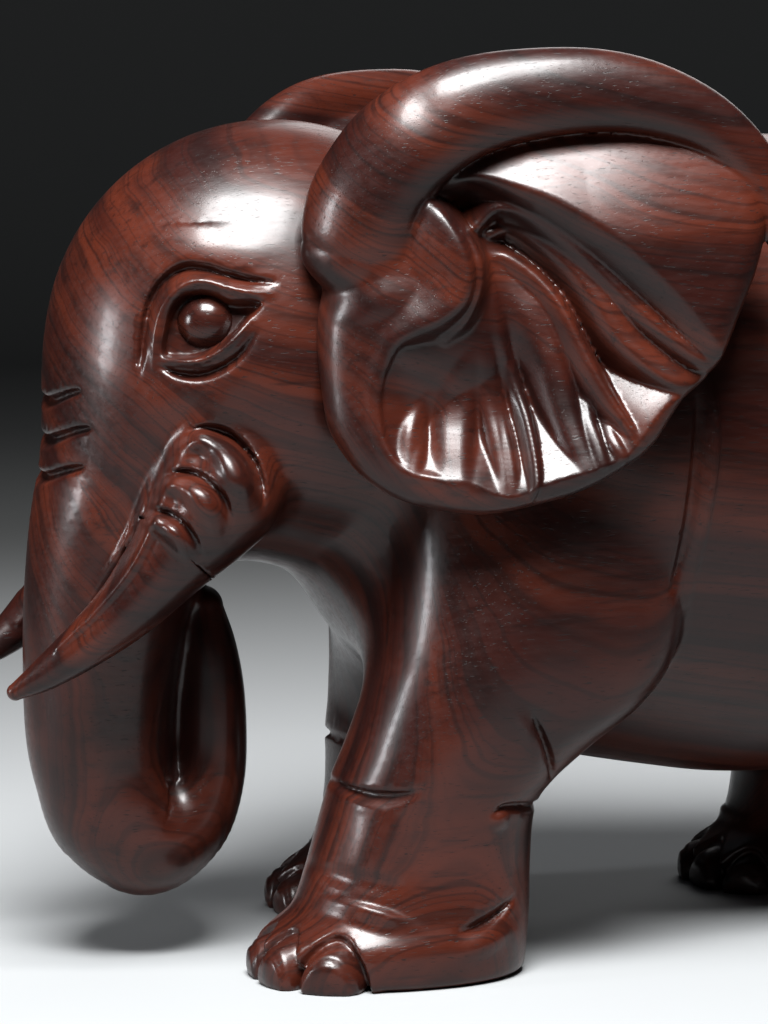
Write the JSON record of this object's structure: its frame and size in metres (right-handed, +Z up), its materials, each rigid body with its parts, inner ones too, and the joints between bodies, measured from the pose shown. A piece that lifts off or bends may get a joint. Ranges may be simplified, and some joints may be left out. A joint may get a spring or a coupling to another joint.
{
  "type": "carved elephant figurine",
  "caption": "Carved dark hardwood elephant walking with trunk curled under, wide rolled ears, let-in tusks, bead eyes and a hanging tail, standing on flat soles.",
  "frame": {"origin": "on the surface the elephant stands on, at the centre of the object's box seen from above", "axes": "+Z up, -Y the way the elephant faces (tusk tips), +X its own left side"},
  "size_m": [0.117, 0.2336, 0.1609],
  "materials": {
    "carved_wood": "polished, satin gloss, dark red-brown with near-black streaks",
    "eye_wood": "polished bead of the same dark wood",
    "dowel_wood": "plain beech, hidden"
  },
  "bodies": {
    "root": {"body_block": "carved_wood", "ear_left": "carved_wood", "ear_right": "carved_wood", "ear_dowels_left": "dowel_wood", "ear_dowels_right": "dowel_wood", "tusk_left": "carved_wood", "tusk_right": "carved_wood", "eye_left": "eye_wood", "eye_right": "eye_wood", "tail": "carved_wood"}
  },
  "joints": []
}
